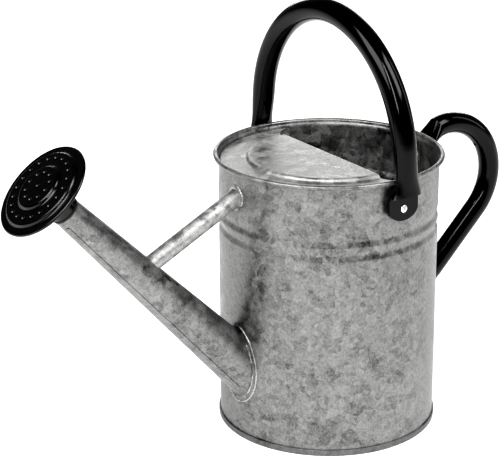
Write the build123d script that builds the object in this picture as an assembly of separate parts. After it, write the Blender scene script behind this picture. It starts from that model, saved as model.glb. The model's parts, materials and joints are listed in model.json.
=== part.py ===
from build123d import *
import math
import os

# Galvanised steel watering can.  Millimetres, +Z up.
# The origin is on the tank's axis, on the plane the can stands on.
# The spout points along -X, the rear handle is at +X, and the bail's pivots are at +Y and -Y.

# ---- driving dimensions: sheet metal tank ----
TANK_R = 80.0            # outside radius of the plain wall
TANK_H = 204.0           # height of the rim bead's centre
SHEET = 0.6              # sheet thickness of every galvanised piece
RIM_WIRE_R = 1.12        # wire rolled into the rim
RIM_OUT = 2.04           # how far the rim wire's circle stands outside the wall
RIM_NECK = 3.5           # height over which the wall curves out to the rim
RIM_ROLL = 300.0         # degrees of sheet round the wire
GROOVES_BELOW_RIM = (50.7, 40.5)    # middles of the two pressed grooves
GROOVE_H = 9.8
GROOVE_DEPTH = 1.1
GROOVE_BEND_R = 4.0      # bends of a groove's section
FLOOR_Z = 4.0            # recess under the floor plate
SEAM_H = 4.8             # height of the folded base seam
SEAM_FOLD = 1.2          # thickness of the seam's outer fold
LAP_HALF_ANGLE = 6.0     # half width, in degrees, of the wall's vertical lap

# ---- half cover ----
COVER_DROP = 3.5         # border below the rim bead's centre
COVER_RISE = 2.5         # raised panel above the border
COVER_PANEL_R = 57.0
COVER_STEP_W = 4.5
COVER_SKIRT = 6.0
COVER_EDGE_X = 0.8       # straight cut edge, across the middle
COVER_CORNER_R = 20.0
COVER_CORNER_OVER = 1.5  # keeps the ends of the border blunt at the wall

# ---- spout ----
SPOUT_ROOT_Z = 58.8      # where its axis meets the wall
SPOUT_ANGLE = 46.6       # above the horizontal
SPOUT_LEN = 196.3        # along the axis, from the wall to the mouth
SPOUT_ROOT_R = 17.9
SPOUT_MOUTH_R = 10.25
SPOUT_SEAM_W = 3.4
SPOUT_SEAM_T = 0.5
SPOUT_SEAM_ANGLE = 34.0  # round the axis, from straight below
SPOUT_SEAM_INSET = 6.0   # seam stops this far short of the mouth
SPOUT_INSIDE = 40.0      # length of cone that is cut off inside the tank
COLLAR_W = 2.4
COLLAR_T = 1.3

# ---- brace between spout and tank ----
BRACE_R = 6.25
BRACE_BELOW_RIM = 18.8
BRACE_ALONG_SPOUT = 118.0
BRACE_COLLAR_W = 1.5
BRACE_COLLAR_T = 1.6

# ---- handle tube, common to both handles ----
BAIL_TUBE_R = 8.5
GRIP_TUBE_R = 8.0
TUBE_WALL = 1.0
LUG_T = 3.0
LUG_HALF_W = 12.4        # a flattened tube is half its girth wide
LUG_DROP = 8.8           # rounded end, below the rivet
LUG_CHEEK = 7.0          # bail's lug keeps its full width this far above the rivet
LUG_TOP = 10.5
LUG_NECK_HALF_W = 9.9    # narrower at the top, so it turns under the rim

# ---- bail ----
PIVOT_BELOW_RIM = 19.0
PIVOT_X = 2.4            # pivots stand a little behind the tank's axis
BAIL_LEAN = 1.5          # degrees that the bail leans to the spout at rest
BAIL_GAP = 2.5           # lug's inner face to the wall
BAIL_FOOT_OUT = 11.1     # centre of the tube's foot, outside the wall
BAIL_FOOT_RISE = 10.0    # foot above the pivot
BAIL_LEG_LEN = 38.1
BAIL_LEG_TILT = 8.4      # legs lean in, degrees from upright
BAIL_FOOT_A = 10.3       # half width and half depth of the flared foot
BAIL_FOOT_B = 3.9
BAIL_FLARE_LEN = 37.0    # the depth grows to the tube's over this length
BAIL_WIDE_LEN = 17.0     # and the width shrinks to the tube's over this one
BAIL_FLARE_STEPS = 6
BAIL_PRESS_R = 40.0      # arched lower edge of the flare
BAIL_PRESS_H = 1.6
BAIL_CROWN_R = 77.0
BAIL_CROWN_HALF = 12.6   # degrees

# ---- rear handle ----
GRIP_BELOW_RIM = 14.5    # where the tube's line leaves the wall
GRIP_LEAN = 45.0         # degrees, at both ends
GRIP_NECK_LEN = 15.0
GRIP_NECK_R = 25.3
GRIP_BEND_R = 43.0
GRIP_FLATTEN_LEN = 24.0
GRIP_UPPER_DROP = 3.5    # bend in the flattened end down to its rivet
GRIP_LOWER_DROP = 11.0
GRIP_SKIN = 0.2          # the flattened tube swells this much as it leaves the wall

# ---- rivets and washers ----
RIVET_R = 1.6
RIVET_HEAD_R = 2.7
RIVET_HEAD_H = 1.2
RIVET_HEAD_EDGE = 0.3    # straight edge of the domed head
RIVET_BORE_R = 0.7
RIVET_BORE_DEPTH = 2.0
RIVET_TAIL_R = 2.4
RIVET_TAIL_H = 2.2
WASHER_R = 6.0
WASHER_T = 0.9
DOME_R = 4.3
DOME_H = 2.0
DOME_SEAT = 0.3          # thickness of shank kept under the dome

# ---- rose ----
ROSE_R = 35.8
ROSE_AHEAD = 24.4        # rim plane ahead of the spout's mouth
ROSE_SHEET = 0.8
ROSE_BEAD_R = 1.5 * ROSE_SHEET   # the roll closes on one more sheet
ROSE_HEM = 1.0
ROSE_STEP = 2.25         # each pressed step of the face
ROSE_DISC_R = 15.2
ROSE_RING_IN_R = 18.9
ROSE_RING_OUT_R = 27.8
ROSE_FLANGE_R = 31.0
ROSE_HOLE_R = 0.75
ROSE_PUNCH_R = 1.7       # each hole is punched inwards, which dishes its edge
ROSE_PUNCH_DEPTH = 0.6
ROSE_HOLES = ((1, 0.0, 2), (10, 10.7, 2), (20, 23.9, 1))    # count, circle and steps above the rim
ROSE_BACK_S = 8.5        # back cone's narrow end, ahead of the mouth
ROSE_COLLAR_H = 2.0
ROSE_NECK_R = 10.3
SEAL_DEPTH = 16.0
SEAL_LIP_T = 1.6
SEAL_LIP_OVER = 0.4      # lip stands out past the spout's mouth
SEAL_WALL = 1.5

# ---- clearances ----
RUN = 0.05               # radial, between a shaft and its hole
SIDE = 0.2               # beside a turning lug
FACE = 0.3               # between end faces of pieces that move apart

WALL_IN = TANK_R - SHEET
LAP_IN = WALL_IN - SHEET
BIG = 4 * TANK_R
PIVOT_Z = TANK_H - PIVOT_BELOW_RIM
GRIP_TOP_Z = TANK_H - GRIP_BELOW_RIM


def turned(face, plane=Plane.XY):
    """A face drawn as (radius, height), turned about the plane's normal."""
    return plane * revolve(Plane.XZ * face, Axis.Z)


def strip(edges, thickness, side):
    """The section of a sheet: a line of edges, thickened to one side."""
    return Face(Wire(edges).offset_2d(thickness, side=side, closed=True))


def beside(edge, distance):
    """The same arc or line, moved to its left."""
    ends = [(edge @ u) + (edge % u).rotate(Axis.Z, 90) * distance for u in (0, 0.5, 1)]
    if edge.geom_type == GeomType.LINE:
        return Line(ends[0], ends[2])
    return ThreePointArc(*ends)


def smooth_strip(edges, thickness):
    """The section of a sheet whose line has no corners, thickened to its left."""
    far = [beside(edge, thickness) for edge in edges]
    ends = [Line(edges[0] @ 0, far[0] @ 0), Line(edges[-1] @ 1, far[-1] @ 1)]
    return Face(Wire([*edges, *far, *ends]))


def s_bend(start, heading, along, across, radius=None):
    """Two equal tangent arcs that shift a line sideways; across is positive to the left.

    A radius, smaller than the arcs that would meet, leaves a straight slope between them.
    """
    turn = 2 * math.degrees(math.atan2(abs(across), along))
    sign = 1 if across > 0 else -1
    if radius is None:
        radius = along / (2 * math.sin(math.radians(turn)))
    else:
        rise = 2 * radius - abs(across)
        turn = math.degrees(math.atan2(along, rise) - math.acos(2 * radius / math.hypot(along, rise)))
    first = JernArc(start, heading, radius, sign * turn)
    slope = math.hypot(along, across)**2 - 4 * radius * abs(across)
    joint = first @ 1
    middle = []
    if slope > 1e-6:
        middle = [Line(joint, joint + (first % 1) * math.sqrt(slope))]
        joint = middle[0] @ 1
    second = JernArc(joint, first % 1, radius, -sign * turn)
    return [first, *middle, second]


def wall_shell(inner_r, outer_r):
    """A tall ring about the tank's axis."""
    height = 2 * TANK_H
    return Cylinder(outer_r, height) - Cylinder(inner_r, height)


def outward(direction, z, x=0.0):
    """A frame at (x, 0, z) inside the tank, its normal pointing out of the wall."""
    across = Vector(0, 0, 1).cross(Vector(*direction))
    return Plane(origin=(x, 0, z), x_dir=across, z_dir=direction)


def rod(at, radius, low, high):
    bar = Cylinder(radius, high - low, align=(Align.CENTER, Align.CENTER, Align.MIN))
    return at * (Pos(0, 0, low) * bar)


# ---- tank ----
def groove_edges(foot):
    """A groove's outer line, from its lower end up."""
    lower = s_bend(foot, (0, 1), GROOVE_H / 2, GROOVE_DEPTH, GROOVE_BEND_R)
    upper = s_bend(lower[-1] @ 1, (0, 1), GROOVE_H / 2, -GROOVE_DEPTH, GROOVE_BEND_R)
    return lower + upper


def tank_edges():
    """The wall's outer line, from its foot up to the end of the rim's roll."""
    edges = []
    at = Vector(TANK_R, SHEET)
    for below in GROOVES_BELOW_RIM:
        foot = Vector(TANK_R, TANK_H - below - GROOVE_H / 2)
        edges.append(Line(at, foot))
        edges += groove_edges(foot)
        at = edges[-1] @ 1
    neck = Vector(TANK_R, TANK_H - RIM_NECK)
    edges.append(Line(at, neck))
    edges += s_bend(neck, (0, 1), RIM_NECK, RIM_WIRE_R - RIM_OUT)
    edges.append(JernArc(edges[-1] @ 1, (0, 1), RIM_WIRE_R, -RIM_ROLL))
    return edges


def make_tank_wall(spout_solid, rivet_holes):
    wall = turned(smooth_strip(tank_edges(), SHEET))
    lap_low = FLOOR_Z + SHEET
    lap_h = TANK_H - RIM_NECK - lap_low
    wedge_w = 2 * TANK_R * math.sin(math.radians(LAP_HALF_ANGLE))
    wedge = Pos(TANK_R, 0, lap_low + lap_h / 2) * Box(TANK_R, wedge_w, lap_h)
    wall += wall_shell(LAP_IN, WALL_IN) & wedge
    for below in GROOVES_BELOW_RIM:
        wall -= Pos(0, 0, TANK_H - below) * turned(groove_cutter())
    return wall - spout_solid - rivet_holes


def groove_cutter():
    """Space outside the wall at a groove, so the lap follows the groove."""
    low = Vector(TANK_R, -GROOVE_H / 2)
    line = groove_edges(low)
    return Face(Wire([*line, Line(line[-1] @ 1, low)]))


def make_rim_wire():
    return turned(Pos(TANK_R + RIM_OUT, TANK_H) * Circle(RIM_WIRE_R))


def make_tank_base():
    inner, outer = WALL_IN - SHEET, TANK_R + SEAM_FOLD
    floor = Pos(0, FLOOR_Z) * Rectangle(WALL_IN, SHEET, align=Align.MIN)
    bend = Pos(inner, 0) * Rectangle(SHEET, FLOOR_Z + SHEET, align=Align.MIN)
    foot = Pos(inner, 0) * Rectangle(outer - inner, SHEET, align=Align.MIN)
    fold = Pos(TANK_R, 0) * Rectangle(SEAM_FOLD, SEAM_H, align=Align.MIN)
    section = floor + bend + foot + fold
    low = section.vertices().filter_by_position(Axis.X, outer - 0.01, outer + 0.01)
    section = fillet(low.sort_by(Axis.Y)[0], SEAM_FOLD * 0.9)
    high = section.vertices().filter_by_position(Axis.Y, SEAM_H - 0.01, SEAM_H + 0.01)
    section = fillet(high.sort_by(Axis.X)[-1], SEAM_FOLD * 0.5)
    return turned(section.face())


def make_half_cover():
    border_z = TANK_H - COVER_DROP
    top_z = border_z + COVER_RISE
    step = s_bend(Vector(COVER_PANEL_R, top_z), (1, 0), COVER_STEP_W, -COVER_RISE)
    corner = 2 * SHEET
    brim = Line(step[-1] @ 1, (WALL_IN - corner, border_z))
    turn = JernArc(brim @ 1, (1, 0), corner, -90)
    skirt = Line(turn @ 1, (turn @ 1) - Vector(0, COVER_SKIRT))
    line = [Line((0, top_z), (COVER_PANEL_R, top_z)), *step, brim, turn, skirt]
    cover = turned(strip(line, SHEET, Side.RIGHT))
    mouth = Circle(WALL_IN + COVER_CORNER_OVER)
    mouth &= Pos(COVER_EDGE_X, 0) * Rectangle(BIG, BIG, align=(Align.MIN, Align.CENTER))
    mouth = fillet(mouth.vertices(), COVER_CORNER_R)
    return cover - Pos(0, 0, border_z - BIG / 2) * extrude(mouth, BIG)


# ---- spout, its collar and the brace ----
ANGLE = math.radians(SPOUT_ANGLE)
ALONG = Vector(-math.cos(ANGLE), 0, math.sin(ANGLE))
SPOUT_ROOT = Vector(-TANK_R, 0, SPOUT_ROOT_Z)
MOUTH = SPOUT_ROOT + ALONG * SPOUT_LEN
MOUTH_PLANE = Plane(origin=MOUTH, x_dir=(0, 1, 0), z_dir=ALONG)
SPOUT_TAPER = (SPOUT_MOUTH_R - SPOUT_ROOT_R) / SPOUT_LEN


def spout_cone(grow, past=0.0):
    """A solid cone along the spout, larger than its outside by grow and longer by past at both ends."""
    inside = SPOUT_INSIDE + past
    low = SPOUT_ROOT_R - SPOUT_TAPER * inside + grow
    high = SPOUT_MOUTH_R + SPOUT_TAPER * past + grow
    at = Plane(origin=SPOUT_ROOT - ALONG * inside, x_dir=(0, 1, 0), z_dir=ALONG)
    return Solid.make_cone(low, high, inside + SPOUT_LEN + past, at)


def make_spout_tube():
    tank = Cylinder(WALL_IN, 2 * TANK_H)
    tube = spout_cone(0) - spout_cone(-SHEET, SHEET)
    slab = Pos(0, 0, -SPOUT_SEAM_INSET) * Box(
        2 * TANK_R, SPOUT_SEAM_W, SPOUT_LEN, align=(Align.MIN, Align.CENTER, Align.MAX))
    seam = spout_cone(SPOUT_SEAM_T) - spout_cone(-SHEET / 2, SHEET)
    seam &= MOUTH_PLANE * (Rot(0, 0, 90 + SPOUT_SEAM_ANGLE) * slab)
    seam -= Cylinder(TANK_R + COLLAR_T + SHEET, 2 * TANK_H)
    return tube - tank + seam


def make_spout_collar():
    ring = spout_cone(COLLAR_W) - spout_cone(0)
    near = Pos(-TANK_R, 0, SPOUT_ROOT_Z) * Box(TANK_R, 2 * TANK_R, 2 * TANK_R)
    return ring & wall_shell(TANK_R, TANK_R + COLLAR_T) & near


BRACE_TOP = Vector(-TANK_R, 0, TANK_H - BRACE_BELOW_RIM)
BRACE_LOW = SPOUT_ROOT + ALONG * BRACE_ALONG_SPOUT
BRACE_DIR = (BRACE_TOP - BRACE_LOW).normalized()


def brace_rod(radius, past=0.0):
    """A solid along the brace, from the spout's axis into the tank, longer by past at both ends."""
    length = (BRACE_TOP - BRACE_LOW).length + 2 * BRACE_R + 2 * past
    at = Plane(origin=BRACE_LOW - BRACE_DIR * past, x_dir=(0, 1, 0), z_dir=BRACE_DIR)
    return Solid.make_cylinder(radius, length, at)


def make_brace_tube():
    bar = brace_rod(BRACE_R) - spout_cone(0) - Cylinder(TANK_R, 2 * TANK_H)
    return bar - brace_rod(BRACE_R - SHEET, SHEET)


def make_brace_collar():
    ring = brace_rod(BRACE_R + BRACE_COLLAR_W) - brace_rod(BRACE_R, SHEET)
    return ring & wall_shell(TANK_R, TANK_R + BRACE_COLLAR_T)


# ---- handles ----
def section_at(point, along, across, half_w, half_t):
    """An ellipse square to a tube's line; across is its wide direction."""
    return Plane(origin=point, x_dir=across, z_dir=along) * Ellipse(half_w, half_t)


def eased(share):
    """From 0 to 1 with a level start and end."""
    share = min(share, 1)
    return share * share * (3 - 2 * share)


def swept_tube(edges, across, radius):
    path = Wire(edges)
    start = Plane(origin=path @ 0, x_dir=across, z_dir=path % 0)
    outer = sweep(start * Circle(radius), path=path)
    return outer - sweep(start * Circle(radius - TUBE_WALL), path=path)


def on_side(y, z):
    return Vector(0, y, z)


TILT = math.radians(BAIL_LEG_TILT)
HALF = math.radians(BAIL_CROWN_HALF)
FOOT = on_side(TANK_R + BAIL_FOOT_OUT, PIVOT_Z + BAIL_FOOT_RISE)
LEG_UP = on_side(-math.sin(TILT), math.cos(TILT))
LEG_TOP = FOOT + LEG_UP * BAIL_LEG_LEN
SHOULDER_R = (LEG_TOP.Y - BAIL_CROWN_R * math.sin(HALF)) / (math.cos(TILT) - math.sin(HALF))
SHOULDER_C = LEG_TOP - on_side(math.cos(TILT), math.sin(TILT)) * SHOULDER_R
CROWN_END = SHOULDER_C + on_side(math.sin(HALF), math.cos(HALF)) * SHOULDER_R
CROWN_TOP = on_side(0, CROWN_END.Z + BAIL_CROWN_R * (1 - math.cos(HALF)))


def mirrored(point):
    return Vector(point.X, -point.Y, point.Z)


def bail_foot():
    """The flattened lug, the neck above it and the flared end of the tube, at +Y."""
    inner_y = TANK_R + BAIL_GAP
    side = outward((0, 1, 0), PIVOT_Z)
    cheeks = Polygon(
        (-LUG_HALF_W, 0), (LUG_HALF_W, 0), (LUG_HALF_W, LUG_CHEEK), (LUG_NECK_HALF_W, LUG_TOP),
        (-LUG_NECK_HALF_W, LUG_TOP), (-LUG_HALF_W, LUG_CHEEK), align=None)
    lug = extrude(side * Pos(0, 0, inner_y) * (Ellipse(LUG_HALF_W, LUG_DROP) + cheeks), LUG_T)
    sections = []
    for step in range(BAIL_FLARE_STEPS + 1):
        rise = BAIL_FLARE_LEN * step / BAIL_FLARE_STEPS
        half_w = BAIL_FOOT_A + (BAIL_TUBE_R - BAIL_FOOT_A) * eased(rise / BAIL_WIDE_LEN)
        half_t = BAIL_FOOT_B + (BAIL_TUBE_R - BAIL_FOOT_B) * eased(rise / BAIL_FLARE_LEN)
        sections.append(section_at(FOOT + LEG_UP * rise, LEG_UP, (1, 0, 0), half_w, half_t))
    flare = loft(sections)
    press = Pos(0, FOOT.Y, FOOT.Z - BAIL_PRESS_R + BAIL_PRESS_H) * Rot(90, 0, 0)
    flare -= press * Cylinder(BAIL_PRESS_R, 4 * BAIL_TUBE_R)
    low = Pos(0, inner_y + LUG_T / 2, PIVOT_Z + LUG_TOP - LUG_T) * Rectangle(2 * LUG_NECK_HALF_W, LUG_T)
    high = Pos(0, FOOT.Y - LUG_T / 2, FOOT.Z + 3 * LUG_T) * Rectangle(1.5 * BAIL_FOOT_A, BAIL_FOOT_B)
    neck = loft([low, high], ruled=True)
    return lug + neck + flare - rod(side, RIVET_R + RUN, inner_y - LUG_T, inner_y + 2 * LUG_T)


def make_bail():
    flare_top = FOOT + LEG_UP * BAIL_FLARE_LEN
    middle = (HALF + math.pi / 2 - TILT) / 2
    shoulder_mid = SHOULDER_C + on_side(math.sin(middle), math.cos(middle)) * SHOULDER_R
    right = [Line(flare_top, LEG_TOP), ThreePointArc(LEG_TOP, shoulder_mid, CROWN_END)]
    crown = ThreePointArc(CROWN_END, CROWN_TOP, mirrored(CROWN_END))
    left = [ThreePointArc(mirrored(CROWN_END), mirrored(shoulder_mid), mirrored(LEG_TOP)),
            Line(mirrored(LEG_TOP), mirrored(flare_top))]
    tube = swept_tube([*right, crown, *left], (1, 0, 0), BAIL_TUBE_R)
    foot = bail_foot()
    upright = tube + foot + mirror(foot, Plane.XZ)
    return Pos(PIVOT_X, 0, PIVOT_Z) * Rot(0, -BAIL_LEAN, 0) * Pos(0, 0, -PIVOT_Z) * upright


LEAN = math.radians(GRIP_LEAN)
GRIP_WALL_X = TANK_R + LUG_T / 2
ACROSS = (0, 1, 0)


def in_grip_plane(point):
    """A point drawn as (x, z) in the rear handle's plane."""
    return Vector(point.X, 0, point.Y)


def grip_line():
    """Rear handle's line as (x, z): the point where it turns round, its round stretch, its lower end."""
    start = Vector(GRIP_WALL_X, GRIP_TOP_Z)
    heading = Vector(math.sin(LEAN), math.cos(LEAN))
    half_turn = (90 - GRIP_LEAN) / 2
    flat = JernArc(start + heading * GRIP_NECK_LEN, heading, GRIP_NECK_R, -half_turn)
    neck = JernArc(flat @ 1, flat % 1, GRIP_NECK_R, -half_turn)
    bend = JernArc(neck @ 1, neck % 1, GRIP_BEND_R, -(180 - GRIP_LEAN))
    run = ((bend @ 1).X - GRIP_WALL_X) / math.sin(LEAN)
    tail = Line(bend @ 1, (bend @ 1) + (bend % 1) * (run - GRIP_FLATTEN_LEN))
    return flat, [neck, bend, tail], (bend @ 1) + (bend % 1) * run


def flattened(at_wall, heading, length, round_at, round_heading):
    """The tube's end, from flat at the wall to round."""
    thin = LUG_T / 2 + GRIP_SKIN
    return loft([
        section_at(at_wall, heading, ACROSS, LUG_HALF_W - GRIP_SKIN, thin),
        section_at(at_wall + heading * length, heading, ACROSS, LUG_HALF_W - 4 * GRIP_SKIN,
                   thin + 4 * GRIP_SKIN),
        section_at(round_at, round_heading, ACROSS, GRIP_TUBE_R, GRIP_TUBE_R)])


def grip_lug(rivet_z, drop):
    """A flattened end bent round the wall, its top edge a drop above its rivet."""
    outline = Ellipse(LUG_HALF_W, LUG_DROP) & Rectangle(
        2 * LUG_HALF_W, 2 * LUG_HALF_W, align=(Align.CENTER, Align.MAX))
    outline += Pos(0, drop / 2) * Rectangle(2 * LUG_HALF_W, drop)
    bar = outward((1, 0, 0), rivet_z) * extrude(outline, 2 * TANK_R)
    return bar & wall_shell(TANK_R, TANK_R + LUG_T)


GRIP_FLAT, GRIP_ROUND, GRIP_END = grip_line()
UPPER_RIVET_Z = GRIP_TOP_Z - GRIP_UPPER_DROP
LOWER_RIVET_Z = GRIP_END.Y - GRIP_LOWER_DROP


def make_rear_handle():
    tube = swept_tube([edge.moved(Location(Plane.XZ)) for edge in GRIP_ROUND], ACROSS, GRIP_TUBE_R)
    top = Vector(GRIP_WALL_X, 0, GRIP_TOP_Z)
    top_heading = Vector(math.sin(LEAN), 0, math.cos(LEAN))
    upper = flattened(top, top_heading, GRIP_NECK_LEN / 2,
                      in_grip_plane(GRIP_FLAT @ 1), in_grip_plane(GRIP_FLAT % 1))
    tail_top = in_grip_plane(GRIP_ROUND[-1] @ 1)
    tail_heading = (tail_top - in_grip_plane(GRIP_END)).normalized()
    lower = flattened(in_grip_plane(GRIP_END), tail_heading, GRIP_NECK_LEN / 2, tail_top, tail_heading)
    ends = upper + lower - Cylinder(TANK_R, 2 * TANK_H)
    lugs = grip_lug(UPPER_RIVET_Z, GRIP_UPPER_DROP) + grip_lug(LOWER_RIVET_Z, GRIP_LOWER_DROP)
    return tube + ends + lugs


# ---- rivets, washers and spacers ----
def bail_rivet(at):
    head_at = TANK_R + BAIL_GAP + LUG_T + SIDE
    tail_at = WALL_IN - WASHER_T
    dome = turned(make_face([
        Line((0, 0), (RIVET_HEAD_R, 0)),
        Line((RIVET_HEAD_R, 0), (RIVET_HEAD_R, RIVET_HEAD_EDGE)),
        ThreePointArc((RIVET_HEAD_R, RIVET_HEAD_EDGE), (0.6 * RIVET_HEAD_R, 0.85 * RIVET_HEAD_H),
                      (RIVET_BORE_R, RIVET_HEAD_H)),
        Line((RIVET_BORE_R, RIVET_HEAD_H), (0, RIVET_HEAD_H)),
        Line((0, RIVET_HEAD_H), (0, 0))]))
    body = rod(at, RIVET_R, tail_at, head_at) + at * (Pos(0, 0, head_at) * dome)
    body += rod(at, RIVET_TAIL_R, tail_at - RIVET_TAIL_H, tail_at)
    return body - rod(at, RIVET_BORE_R, head_at - RIVET_BORE_DEPTH, head_at + 2 * RIVET_HEAD_H)


def bail_spacer(at):
    disc = rod(at, WASHER_R, WALL_IN, TANK_R + BAIL_GAP - SIDE)
    return disc - Cylinder(TANK_R, 2 * TANK_H) - rod(at, RIVET_R, 0, BIG)


def inner_washer(at, wall_r):
    """Flat towards the axis, dished to the wall's curve behind."""
    disc = rod(at, WASHER_R, wall_r - WASHER_T, wall_r + WASHER_T)
    return (disc & Cylinder(wall_r, 2 * TANK_H)) - rod(at, RIVET_R, 0, BIG)


def grip_rivet(at):
    """Domed head inside the tank, set tail on the lug outside."""
    inside = LAP_IN - WASHER_T
    outside = TANK_R + LUG_T
    ball_r = (DOME_R**2 + DOME_H**2) / (2 * DOME_H)
    cap = Sphere(ball_r) & Pos(0, 0, ball_r - DOME_H) * Cylinder(
        2 * ball_r, DOME_H, align=(Align.CENTER, Align.CENTER, Align.MIN))
    cap = Pos(0, 0, inside + ball_r - DOME_H) * Rot(180, 0, 0) * cap
    body = rod(at, RIVET_R, inside - DOME_SEAT, outside) + at * cap
    return body + rod(at, RIVET_TAIL_R, outside, outside + RIVET_HEAD_H)


# ---- rose: radii are about the spout's axis, heights are ahead of the mouth ----
def rose_turned(edges, thickness, side):
    return turned(strip(edges, thickness, side), MOUTH_PLANE)


def make_rose_face():
    """A stepped disc, its edge rolled back round the back cone's lip."""
    ring_s = ROSE_AHEAD + ROSE_STEP
    disc_s = ring_s + ROSE_STEP
    inner = s_bend(Vector(ROSE_DISC_R, disc_s), (1, 0), ROSE_RING_IN_R - ROSE_DISC_R, -ROSE_STEP)
    outer = s_bend(Vector(ROSE_RING_OUT_R, ring_s), (1, 0), ROSE_FLANGE_R - ROSE_RING_OUT_R, -ROSE_STEP)
    flange = Line(outer[-1] @ 1, (ROSE_R - ROSE_BEAD_R, ROSE_AHEAD))
    roll = JernArc(flange @ 1, (1, 0), ROSE_BEAD_R, -180)
    hem = Line(roll @ 1, (roll @ 1) - Vector(ROSE_HEM, 0))
    line = [Line((0, disc_s), inner[0] @ 0), *inner, Line(inner[-1] @ 1, outer[0] @ 0)]
    face = rose_turned([*line, *outer, flange, roll, hem], ROSE_SHEET, Side.RIGHT)
    holes = []
    for count, radius, steps in ROSE_HOLES:
        top = ROSE_AHEAD + steps * ROSE_STEP
        for turn in range(count):
            spot = MOUTH_PLANE * Rot(0, 0, 360 * turn / count) * Pos(radius, 0, top)
            holes.append(spot * Cylinder(ROSE_HOLE_R, 4 * ROSE_SHEET))
            holes.append(spot * Cone(
                ROSE_HOLE_R, ROSE_PUNCH_R, ROSE_PUNCH_DEPTH, align=(Align.CENTER, Align.CENTER, Align.MAX)))
    return face - holes


def make_rose_back():
    """A shallow cone from a collar on the neck out to a lip inside the face's roll."""
    lip_s = ROSE_AHEAD - ROSE_SHEET
    collar = Line((ROSE_NECK_R, ROSE_BACK_S - ROSE_COLLAR_H), (ROSE_NECK_R, ROSE_BACK_S))
    cone = Line(collar @ 1, (ROSE_FLANGE_R, lip_s))
    lip = Line(cone @ 1, (ROSE_R - ROSE_BEAD_R, lip_s))
    return rose_turned([collar, cone, lip], ROSE_SHEET, Side.RIGHT)


BORE_R = SPOUT_MOUTH_R - SHEET
SEAL_OUT_R = BORE_R - RUN
SEAL_IN_R = SEAL_OUT_R - SEAL_WALL
PLUG_R = SEAL_IN_R - RUN
SEAL_TOP = FACE + SEAL_LIP_T


def make_rose_neck():
    step_s = SEAL_TOP + FACE
    plug = Line((PLUG_R, -SEAL_DEPTH), (PLUG_R, step_s))
    step = Line(plug @ 1, (ROSE_NECK_R, step_s))
    neck = Line(step @ 1, (ROSE_NECK_R, ROSE_BACK_S))
    return rose_turned([plug, step, neck], ROSE_SHEET, Side.LEFT)


def make_rose_seal():
    sleeve = Pos(SEAL_IN_R, -SEAL_DEPTH) * Rectangle(
        SEAL_WALL, SEAL_DEPTH + SEAL_TOP, align=Align.MIN)
    lip = Pos(SEAL_IN_R, FACE) * Rectangle(
        SPOUT_MOUTH_R + SEAL_LIP_OVER - SEAL_IN_R, SEAL_LIP_T, align=Align.MIN)
    return turned((sleeve + lip).face(), MOUTH_PLANE)


# ---- assembly ----
def build():
    right = outward((0, -1, 0), PIVOT_Z, PIVOT_X)
    left = outward((0, 1, 0), PIVOT_Z, PIVOT_X)
    upper = outward((1, 0, 0), UPPER_RIVET_Z)
    lower = outward((1, 0, 0), LOWER_RIVET_Z)
    holes = [rod(at, RIVET_R, TANK_R / 2, 2 * TANK_R) for at in (left, right, upper, lower)]
    return {
        "tank_wall": make_tank_wall(spout_cone(0), holes),
        "rim_wire": make_rim_wire(),
        "tank_base": make_tank_base(),
        "half_cover": make_half_cover(),
        "spout_tube": make_spout_tube(),
        "spout_collar": make_spout_collar(),
        "brace_tube": make_brace_tube(),
        "brace_collar": make_brace_collar(),
        "bail_handle": make_bail(),
        "bail_rivet_left": bail_rivet(left),
        "bail_rivet_right": bail_rivet(right),
        "bail_spacer_left": bail_spacer(left),
        "bail_spacer_right": bail_spacer(right),
        "bail_washer_left": inner_washer(left, WALL_IN),
        "bail_washer_right": inner_washer(right, WALL_IN),
        "rear_handle": make_rear_handle() - holes[2:],
        "rear_rivet_upper": grip_rivet(upper),
        "rear_rivet_lower": grip_rivet(lower),
        "rear_washer_upper": inner_washer(upper, LAP_IN),
        "rear_washer_lower": inner_washer(lower, LAP_IN),
        "rose_face": make_rose_face(),
        "rose_back": make_rose_back(),
        "rose_neck": make_rose_neck(),
        "rose_seal": make_rose_seal(),
    }


os.makedirs("parts", exist_ok=True)
for node, shape in build().items():
    export_step(shape, f"parts/{node}.step")
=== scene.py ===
import json
import math

import bmesh
import bpy
from mathutils import Matrix, Vector


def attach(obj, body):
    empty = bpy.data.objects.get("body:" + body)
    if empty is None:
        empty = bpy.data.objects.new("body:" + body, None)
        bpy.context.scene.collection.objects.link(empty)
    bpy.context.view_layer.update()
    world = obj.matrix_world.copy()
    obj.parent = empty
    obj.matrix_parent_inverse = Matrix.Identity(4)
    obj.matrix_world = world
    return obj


# Looks of the galvanised watering can.  Metres, in the CAD's frame: +Z up, spout along -X.

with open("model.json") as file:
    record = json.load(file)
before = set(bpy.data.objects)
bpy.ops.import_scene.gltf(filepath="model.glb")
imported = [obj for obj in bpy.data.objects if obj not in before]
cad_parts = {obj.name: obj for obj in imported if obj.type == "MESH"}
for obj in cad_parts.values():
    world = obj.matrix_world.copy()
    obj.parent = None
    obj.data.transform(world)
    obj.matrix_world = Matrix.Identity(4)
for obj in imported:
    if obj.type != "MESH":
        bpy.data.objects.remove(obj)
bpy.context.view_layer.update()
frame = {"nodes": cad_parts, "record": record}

MM = 0.001


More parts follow.
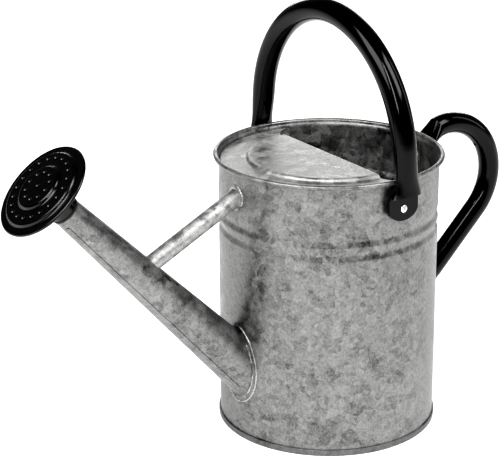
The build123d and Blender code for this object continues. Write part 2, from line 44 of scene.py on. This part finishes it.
# ---------------------------------------------------------------- materials
class Paint:
    """A procedural material being built: node() adds a node and joins or sets its inputs."""

    def __init__(self, name, **constants):
        self.material = bpy.data.materials.new(name)
        self.material.use_nodes = True
        self.tree = self.material.node_tree
        self.shader = self.tree.nodes["Principled BSDF"]
        self.join(self.shader, constants)
        self.place = self.node("ShaderNodeTexCoord").outputs["Object"]

    def join(self, node, inputs):
        for key, value in inputs.items():
            socket = node.inputs[key.replace("_", " ") if isinstance(key, str) else key]
            if isinstance(value, bpy.types.NodeSocket):
                self.tree.links.new(value, socket)
            else:
                socket.default_value = value

    def node(self, kind, inputs=None, **settings):
        made = self.tree.nodes.new(kind)
        for key, value in settings.items():
            setattr(made, key, value)
        self.join(made, inputs or {})
        return made

    def math(self, operation, a, b=0.0, c=0.0):
        """One arithmetic step; c is used by MULTIPLY_ADD only."""
        return self.node("ShaderNodeMath", {0: a, 1: b, 2: c}, operation=operation).outputs[0]

    def noise(self, scale, detail=2.0, roughness=0.5):
        return self.node("ShaderNodeTexNoise", {
            "Vector": self.place, "Scale": scale, "Detail": detail, "Roughness": roughness}).outputs[0]

    def moved(self, amount, scale, detail=2.0):
        """Object coordinates shifted about by noise, so that what is drawn at them is ragged."""
        shift = self.node("ShaderNodeTexNoise", {"Vector": self.place, "Scale": scale, "Detail": detail})
        middle = self.node("ShaderNodeVectorMath", {0: shift.outputs["Color"], 1: (0.5, 0.5, 0.5)},
                           operation="SUBTRACT")
        sized = self.node("ShaderNodeVectorMath", {0: middle.outputs[0], "Scale": amount},
                          operation="SCALE")
        return self.node("ShaderNodeVectorMath", {0: self.place, 1: sized.outputs[0]},
                         operation="ADD").outputs[0]

    def cells(self, scale, at):
        """A random value for each crystal of a cell pattern."""
        made = self.node("ShaderNodeTexVoronoi", {"Vector": at, "Scale": scale})
        return self.node("ShaderNodeSeparateColor", {0: made.outputs["Color"]}).outputs[0]

    def ramp(self, value, low, high, out_low=0.0, out_high=1.0):
        """value stretched so that low to high becomes out_low to out_high."""
        return self.node("ShaderNodeMapRange", {
            0: value, 1: low, 2: high, 3: out_low, 4: out_high}).outputs[0]

    def weighted(self, base, terms):
        """base plus each (value, weight), with every value centred on a half."""
        total = base
        for value, weight in terms:
            total = self.math("MULTIPLY_ADD", self.math("SUBTRACT", value, 0.5), weight, total)
        return total

    def grey(self, value, tint=(1.0, 1.0, 1.0)):
        made = self.node("ShaderNodeCombineColor")
        for channel, share in enumerate(tint):
            scaled = value if share == 1.0 else self.math("MULTIPLY", value, share)
            self.tree.links.new(scaled, made.inputs[channel])
        return made.outputs[0]

    def finish(self, colour, rough, height=None, strength=0.3, distance=0.2 * MM):
        """Joins up the shader, with a slight relief where a height is given."""
        self.join(self.shader, {"Base_Color": colour, "Roughness": rough})
        if height is not None:
            bump = self.node("ShaderNodeBump", {
                "Height": height, "Strength": strength, "Distance": distance})
            self.join(self.shader, {"Normal": bump.outputs[0]})
        return self.material


def zinc(name, tone=0.18, spangle=105.0, contrast=1.0, rough=0.42):
    """Hot-dipped zinc: crystals of two sizes, cloudy weathering and a fine grain."""
    p = Paint(name, Metallic=0.92)
    ragged = p.moved(4 * MM, 190.0, 3.0)
    large = p.cells(spangle, ragged)
    small = p.cells(spangle * 2.4, ragged)
    cloud = p.noise(18.0, 4.0, 0.6)
    grain = p.noise(1300.0, 5.0, 0.7)
    fleck = p.ramp(p.noise(520.0, 3.0, 0.6), 0.38, 0.62)
    value = p.weighted(1.0, [
        (large, 0.46 * contrast), (small, 0.48 * contrast), (cloud, 0.9 * contrast),
        (grain, 1.7 * contrast), (fleck, 0.34 * contrast)])
    roughness = p.weighted(rough, [(large, 0.2), (small, 0.14), (cloud, 0.2)])
    height = p.weighted(0.5, [(grain, 0.5), (large, 0.3), (small, 0.3)])
    shade = p.grey(p.math("MULTIPLY", value, tone), (1.0, 1.0, 0.985))
    return p.finish(shade, roughness, height, 0.3, 0.12 * MM)


def black_paint(name, level=0.17, rough=0.12):
    """Gloss black enamel with a slight orange peel and a few dull, dusty patches."""
    p = Paint(name, Specular_IOR_Level=level)
    peel = p.noise(420.0, 2.0, 0.5)
    dust = p.ramp(p.noise(55.0, 5.0, 0.65), 0.5, 0.8)
    value = p.math("MULTIPLY_ADD", dust, 0.0015, 0.0006)
    roughness = p.math("MULTIPLY_ADD", dust, 0.08, rough)
    return p.finish(p.grey(value), roughness, peel, 0.05, 0.05 * MM)


def rubber(name):
    """Dull black rubber or plastic with a fine speckle."""
    p = Paint(name, Specular_IOR_Level=0.3)
    speckle = p.noise(900.0, 4.0, 0.6)
    value = p.math("MULTIPLY_ADD", speckle, 0.006, 0.004)
    return p.finish(p.grey(value), p.ramp(speckle, 0.3, 0.7, 0.5, 0.68), speckle, 0.2, 0.05 * MM)


def bright_metal(name, tone, rough):
    """Turned or rolled bright metal with fine scratches."""
    p = Paint(name, Metallic=1.0)
    scratch = p.noise(2600.0, 3.0, 0.6)
    stain = p.noise(300.0, 3.0, 0.6)
    value = p.weighted(tone, [(stain, 0.18), (scratch, 0.12)])
    roughness = p.weighted(rough, [(stain, 0.2), (scratch, 0.1)])
    return p.finish(p.grey(value), roughness, scratch, 0.12, 0.03 * MM)


MATERIALS = {
    "galvanised_sheet": zinc("zinc_sheet"),
    "galvanised_trim": zinc("zinc_trim", tone=0.36, spangle=120.0, contrast=0.8, rough=0.52),
    "rim_wire_steel": bright_metal("wire_steel", 0.5, 0.4),
    "black_handle": black_paint("handle_enamel"),
    "black_rose": black_paint("rose_enamel", 0.34, 0.17),
    "rivet_aluminium": bright_metal("rivet_metal", 0.85, 0.3),
    "washer_steel": bright_metal("washer_metal", 0.62, 0.35),
    "black_spacer": rubber("spacer_plastic"),
    "black_rubber": rubber("seal_rubber"),
}
SEAM = zinc("zinc_seam", tone=0.13, contrast=0.7, rough=0.5)
SOLDER = zinc("solder", tone=0.45, spangle=300.0, contrast=0.8, rough=0.34)


def paint(piece, material):
    piece.data.materials.clear()
    piece.data.materials.append(material)


for part in frame["record"]["subparts"]:
    paint(frame["nodes"][part["node"]], MATERIALS[part["material_slot"]])
paint(frame["nodes"]["tank_base"], SEAM)
paint(frame["nodes"]["spout_collar"], MATERIALS["galvanised_sheet"])


# ---------------------------------------------------------------- solder
TANK_R = 80.0 * MM
SPOUT_RISE = math.radians(46.6)
SPOUT_ROOT = Vector((-TANK_R, 0, 58.8 * MM))
SPOUT_WAY = Vector((-math.cos(SPOUT_RISE), 0, math.sin(SPOUT_RISE)))
SPOUT_TAPER = -0.039
BRACE_TOP = Vector((-TANK_R, 0, 185.2 * MM))
BRACE_FOOT = SPOUT_ROOT + SPOUT_WAY * 118.0 * MM
BRACE_WAY = (BRACE_FOOT - BRACE_TOP).normalized()
HALVINGS = 30            # of the search for the wall
BEAD_STEPS = 180         # round the tube
BEAD_SIDES = 8
BEAD_WAVES = ((5, 1, 0.22), (13, 0, 0.16), (29, 2, 0.12))    # waves round the tube, phase, share


def on_wall(start, way, turn, radius, taper):
    """Where a line along a tube, at an angle round its axis, comes out of the tank's wall."""
    side = Vector((0, 1, 0))
    out = side * math.cos(turn) + way.cross(side) * math.sin(turn)
    inside, outside = -radius * 2, radius * 2
    for _ in range(HALVINGS):
        s = (inside + outside) / 2
        spot = start + way * s + out * (radius + taper * s)
        if math.hypot(spot.x, spot.y) < TANK_R:
            inside = s
        else:
            outside = s
    return spot


def solder_bead(name, start, way, radius, taper, half_w, height):
    """A slightly uneven bead of solder round the foot of a tube on the tank's wall."""
    turns = [math.tau * i / BEAD_STEPS for i in range(BEAD_STEPS)]
    line = [on_wall(start, way, turn, radius, taper) for turn in turns]
    bm = bmesh.new()
    rings = []
    for i, spot in enumerate(line):
        uneven = 1 + sum(share * math.sin(waves * turns[i] + phase) for waves, phase, share in BEAD_WAVES)
        out = Vector((spot.x, spot.y, 0)).normalized()
        across = (line[(i + 1) % BEAD_STEPS] - line[i - 1]).cross(out).normalized()
        ring = []
        for k in range(BEAD_SIDES):
            side = math.tau * k / BEAD_SIDES
            swell = across * half_w * math.cos(side) + out * height * math.sin(side)
            ring.append(bm.verts.new(spot + swell * uneven))
        rings.append(ring)
    for i, ring in enumerate(rings):
        after = rings[(i + 1) % BEAD_STEPS]
        for k in range(BEAD_SIDES):
            following = (k + 1) % BEAD_SIDES
            bm.faces.new((ring[k], ring[following], after[following], after[k])).smooth = True
    bmesh.ops.recalc_face_normals(bm, faces=bm.faces)
    mesh = bpy.data.meshes.new(name)
    bm.to_mesh(mesh)
    bm.free()
    mesh.materials.append(SOLDER)
    bead = bpy.data.objects.new(name, mesh)
    bpy.context.scene.collection.objects.link(bead)
    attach(bead, "can")


solder_bead("solder_spout", SPOUT_ROOT, SPOUT_WAY, 20.3 * MM, SPOUT_TAPER, 0.6 * MM, 0.5 * MM)
solder_bead("solder_spout_inner", SPOUT_ROOT, SPOUT_WAY, 18.0 * MM, SPOUT_TAPER, 0.5 * MM, 1.6 * MM)
solder_bead("solder_brace", BRACE_TOP, BRACE_WAY, 7.4 * MM, 0.0, 0.6 * MM, 0.8 * MM)


# ---------------------------------------------------------------- stage, lights and camera
FLOOR_R = 12.0
FLOOR_GLOW = 0.46


def make_floor():
    """A wide pale disc, lit from below as a studio's light table is."""
    mesh = bpy.data.meshes.new("floor")
    bm = bmesh.new()
    bmesh.ops.create_circle(bm, cap_ends=True, radius=FLOOR_R, segments=96)
    bm.to_mesh(mesh)
    bm.free()
    floor = bpy.data.objects.new("floor", mesh)
    floor.location.z = -0.02 * MM
    bpy.context.scene.collection.objects.link(floor)
    p = Paint("floor_paper")
    glow = p.grey(p.ramp(p.noise(2.0), 0.0, 1.0, 0.94, 0.98))
    p.join(p.shader, {"Emission_Color": glow, "Emission_Strength": FLOOR_GLOW})
    mesh.materials.append(p.finish(p.grey(p.ramp(p.noise(3.0), 0.0, 1.0, 0.86, 0.88)), 0.8))


AIM = Vector((-0.02, 0, 0.14))


def softbox(name, azimuth, elevation, distance, size, watts):
    """An area light that looks at the can; azimuth 0 is at -Y and 90 at +X."""
    a, e = math.radians(azimuth), math.radians(elevation)
    away = Vector((math.sin(a) * math.cos(e), -math.cos(a) * math.cos(e), math.sin(e)))
    light = bpy.data.lights.new(name, "AREA")
    light.shape = "RECTANGLE"
    light.size, light.size_y = size
    light.energy = watts
    lamp = bpy.data.objects.new(name, light)
    lamp.location = AIM + away * distance
    lamp.rotation_mode = "QUATERNION"
    lamp.rotation_quaternion = (-away).to_track_quat("-Z", "Y")
    bpy.context.scene.collection.objects.link(lamp)


def make_world():
    """Faint even light from all round."""
    world = bpy.data.worlds.new("studio")
    world.use_nodes = True
    back = world.node_tree.nodes["Background"]
    back.inputs["Color"].default_value = (1.0, 1.0, 1.0, 1.0)
    back.inputs["Strength"].default_value = 0.13
    bpy.context.scene.world = world


CAMERA_AZIMUTH = -36.0
CAMERA_AWAY = 1.2483
CAMERA_HEIGHT = 0.5970
CAMERA_PAN = 2.628       # degrees past the tank's axis
CAMERA_TILT = 19.899     # degrees down
CAMERA_ROLL = -0.298


def turned(degrees, axis):
    return Matrix.Rotation(math.radians(degrees), 4, axis)


def make_camera():
    data = bpy.data.cameras.new("camera")
    data.sensor_width = 36.0
    data.lens = 130.0
    data.clip_start, data.clip_end = 0.05, 60.0
    camera = bpy.data.objects.new("camera", data)
    place = turned(CAMERA_AZIMUTH, "Z") @ Matrix.Translation((0, -CAMERA_AWAY, CAMERA_HEIGHT))
    aim = turned(CAMERA_PAN, "Z") @ turned(90.0 - CAMERA_TILT, "X") @ turned(CAMERA_ROLL, "Z")
    camera.matrix_world = place @ aim
    bpy.context.scene.collection.objects.link(camera)
    bpy.context.scene.camera = camera


make_floor()
make_world()
make_camera()
softbox("key", -41.0, 38.0, 1.7, (0.14, 1.1), 13.0)
softbox("front_right", 24.0, 50.0, 1.8, (0.8, 1.0), 27.0)
softbox("front_left", -84.0, 42.0, 1.7, (1.1, 0.9), 27.0)
softbox("right_strip", 70.0, 25.0, 1.6, (0.25, 1.2), 2.5)
softbox("back_strip", 146.0, 16.0, 2.2, (1.7, 0.55), 14.0)
grading = bpy.context.scene.view_settings
grading.view_transform = "Standard"
grading.look = "Medium High Contrast"
grading.use_curve_mapping = True
grading.curve_mapping.black_level = (0.006, 0.006, 0.006)
grading.curve_mapping.update()
